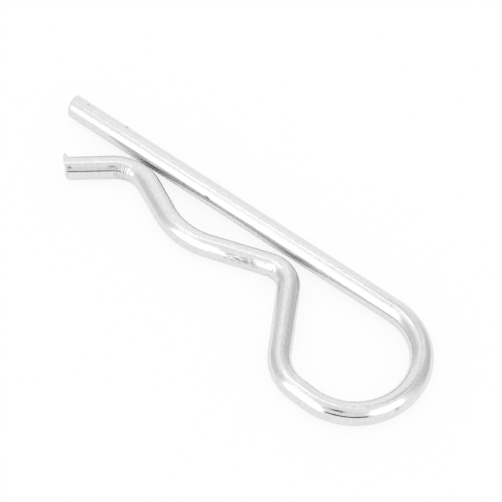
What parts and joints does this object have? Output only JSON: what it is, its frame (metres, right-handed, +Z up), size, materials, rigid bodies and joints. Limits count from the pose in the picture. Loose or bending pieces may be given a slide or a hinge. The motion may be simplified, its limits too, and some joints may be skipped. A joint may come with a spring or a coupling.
{
  "type": "hitch r clip pin",
  "caption": "Round wire spring clip with a straight leg for a cross hole, a wavy leg that grips the shaft and a ring to pull it by.",
  "frame": {"origin": "middle of the clip's outline seen from above, on the surface that the clip lies on", "axes": "+X along the straight leg, from its free end to the ring; +Z up, out of the clip's plane; the wavy leg is on the -Y side"},
  "size_m": [0.082, 0.026, 0.004],
  "materials": {
    "zinc": "bright zinc plate on spring steel wire"
  },
  "bodies": {
    "root": {"clip": "zinc"}
  },
  "joints": []
}
